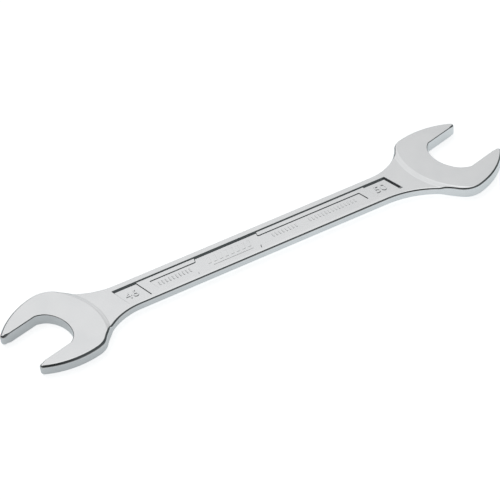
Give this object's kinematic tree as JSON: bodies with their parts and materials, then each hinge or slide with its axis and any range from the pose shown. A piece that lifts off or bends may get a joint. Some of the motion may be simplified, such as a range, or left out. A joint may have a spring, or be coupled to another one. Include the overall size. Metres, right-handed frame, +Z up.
{
  "type": "open end wrench",
  "caption": "Long flat double open end wrench: jaws of unlike width turned fifteen degrees from a slim shank with recessed faces, for turning large hexagon nuts.",
  "frame": {"origin": "middle of the bounding box, on the plane that the wrench lies on", "axes": "+X along the shank towards the larger jaw, +Z up from the face it lies on, and both jaws are turned 15 degrees, the larger one towards +Y"},
  "size_m": [0.4684, 0.0962, 0.0105],
  "materials": {
    "satin_chrome": "satin chrome plating over drop forged steel"
  },
  "bodies": {
    "root": {"wrench_body": "satin_chrome"}
  },
  "joints": []
}
